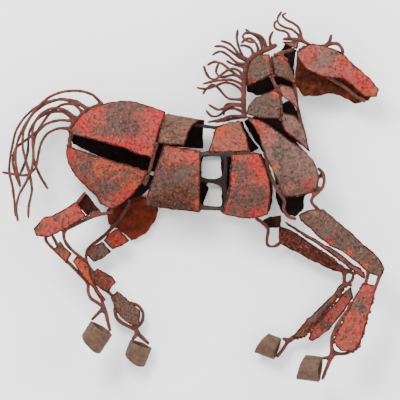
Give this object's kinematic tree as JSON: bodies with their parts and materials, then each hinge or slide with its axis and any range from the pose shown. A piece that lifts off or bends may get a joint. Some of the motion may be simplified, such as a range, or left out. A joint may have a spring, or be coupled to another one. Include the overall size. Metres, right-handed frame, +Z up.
{
  "type": "scrap metal horse sculpture",
  "caption": "Galloping horse in the round, welded from dished, torch-cut steel plates on a bent rod frame, with wire mane and tail and hooves of steel tube.",
  "frame": {"origin": "centre of the bounding box in plan, on the surface that the horse lies on", "axes": "+X from the tail to the nose, +Y from the hooves to the back, +Z up from the surface, out of the horse's near side"},
  "size_m": [0.7686, 0.7452, 0.1479],
  "materials": {
    "red_painted_plate": "worn red paint over rust, matt",
    "pink_painted_plate": "faded pink and grey paint over rust, matt",
    "grey_painted_plate": "grey scale and old paint over rust, matt",
    "brown_rusted_plate": "brown rust with traces of paint, rough",
    "orange_rusted_plate": "orange rust, rough",
    "dark_rusted_plate": "dark rust, rough",
    "rusted_rod": "rusted round bar and wire with weld beads",
    "hoof_tube": "rusted steel tube with grey-tan scale"
  },
  "bodies": {
    "root": {"rump_upper_plate_near": "red_painted_plate", "rump_lower_plate_near": "red_painted_plate", "flank_plate_near": "brown_rusted_plate", "withers_plate_near": "pink_painted_plate", "girth_plate_near": "red_painted_plate", "shoulder_plate_near": "pink_painted_plate", "crest_plate_near": "grey_painted_plate", "throat_plate_near": "grey_painted_plate", "middle_neck_plate_near": "grey_painted_plate", "front_neck_plate_near": "grey_painted_plate", "lower_neck_plate_near": "grey_painted_plate", "poll_plate": "grey_painted_plate", "head_plate_near": "pink_painted_plate", "rump_upper_plate_far": "dark_rusted_plate", "rump_lower_plate_far": "dark_rusted_plate", "flank_plate_far": "dark_rusted_plate", "withers_plate_far": "dark_rusted_plate", "girth_plate_far": "dark_rusted_plate", "shoulder_plate_far": "dark_rusted_plate", "upper_neck_plate_far": "dark_rusted_plate", "lower_neck_plate_far": "dark_rusted_plate", "head_plate_far": "dark_rusted_plate", "gaskin_plate_near": "pink_painted_plate", "inner_gaskin_plate_near": "dark_rusted_plate", "upper_cannon_plate_near_hind": "brown_rusted_plate", "lower_cannon_plate_near_hind": "orange_rusted_plate", "thigh_plate_far": "dark_rusted_plate", "upper_gaskin_plate_far": "red_painted_plate", "lower_gaskin_plate_far": "grey_painted_plate", "upper_cannon_plate_far_hind": "brown_rusted_plate", "lower_cannon_plate_far_hind": "grey_painted_plate", "forearm_plate_near": "grey_painted_plate", "cannon_plate_near_fore": "pink_painted_plate", "forearm_plate_far": "brown_rusted_plate", "forearm_edge_plate_far": "pink_painted_plate", "front_cannon_plate_far_fore": "pink_painted_plate", "rear_cannon_plate_far_fore": "grey_painted_plate", "loin_plate": "brown_rusted_plate", "chest_plate_far": "dark_rusted_plate", "throat_plate_far": "dark_rusted_plate", "poll_plate_far": "dark_rusted_plate", "near_hind_hoof": "hoof_tube", "far_hind_hoof": "hoof_tube", "near_fore_hoof": "hoof_tube", "far_fore_hoof": "hoof_tube", "rump_rear_rods": "rusted_rod", "rump_front_rods": "rusted_rod", "barrel_frame": "rusted_rod", "shoulder_rear_rod": "rusted_rod", "shoulder_front_rod": "rusted_rod", "chest_loop": "rusted_rod", "neck_rods": "rusted_rod", "head_rods": "rusted_rod", "near_hind_leg_rods": "rusted_rod", "far_hind_leg_rods": "rusted_rod", "near_fore_leg_rods": "rusted_rod", "far_fore_leg_rods": "rusted_rod", "tail": "rusted_rod", "mane": "rusted_rod", "forelock": "rusted_rod"}
  },
  "joints": []
}
